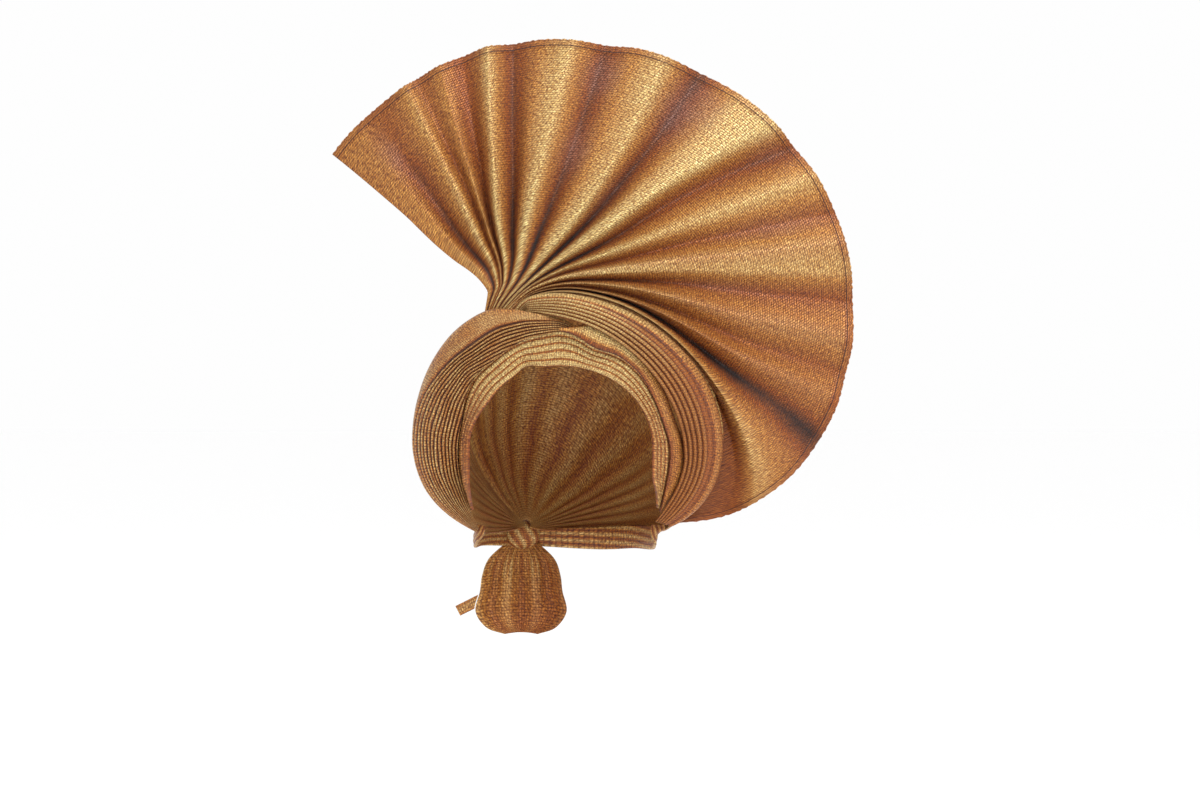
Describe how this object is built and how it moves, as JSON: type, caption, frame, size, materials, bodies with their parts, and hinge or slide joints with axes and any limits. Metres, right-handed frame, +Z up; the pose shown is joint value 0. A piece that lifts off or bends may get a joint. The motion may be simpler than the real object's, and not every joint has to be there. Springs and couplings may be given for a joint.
{
  "type": "tied gele head tie",
  "caption": "Tied head wrap of stiff woven cloth: pleated wraps round an open face, a wide fan rising from one pinch, and a knot with a tail at the nape.",
  "frame": {"origin": "centre of the face opening at brow level, in the middle of the head's depth, where a head holds the tie", "axes": "the face looks along -Y, +X is the viewer's right from the front, +Z is up"},
  "size_m": [0.3746, 0.1744, 0.4333],
  "materials": {
    "fan_cloth": "stiff woven cloth with a metallic gold thread",
    "right_wrap_cloth": "stiff woven cloth with a metallic gold thread",
    "left_wrap_cloth": "stiff woven cloth with a metallic gold thread",
    "tuck_cloth": "stiff woven cloth with a metallic gold thread",
    "band_cloth": "stiff woven cloth with a metallic gold thread",
    "back_cloth": "stiff woven cloth with a metallic gold thread",
    "left_tie_cloth": "stiff woven cloth with a metallic gold thread",
    "right_tie_cloth": "stiff woven cloth with a metallic gold thread",
    "knot_cloth": "stiff woven cloth with a metallic gold thread",
    "tail_cloth": "stiff woven cloth with a metallic gold thread",
    "end_cloth": "stiff woven cloth with a metallic gold thread"
  },
  "bodies": {
    "root": {"fan": "fan_cloth", "right_wrap": "right_wrap_cloth", "left_wrap": "left_wrap_cloth", "tuck_fold": "tuck_cloth", "forehead_band": "band_cloth", "back_wrap": "back_cloth", "left_ear_tie": "left_tie_cloth", "right_ear_tie": "right_tie_cloth", "nape_knot": "knot_cloth", "tail_panel": "tail_cloth", "tie_end": "end_cloth"}
  },
  "joints": []
}
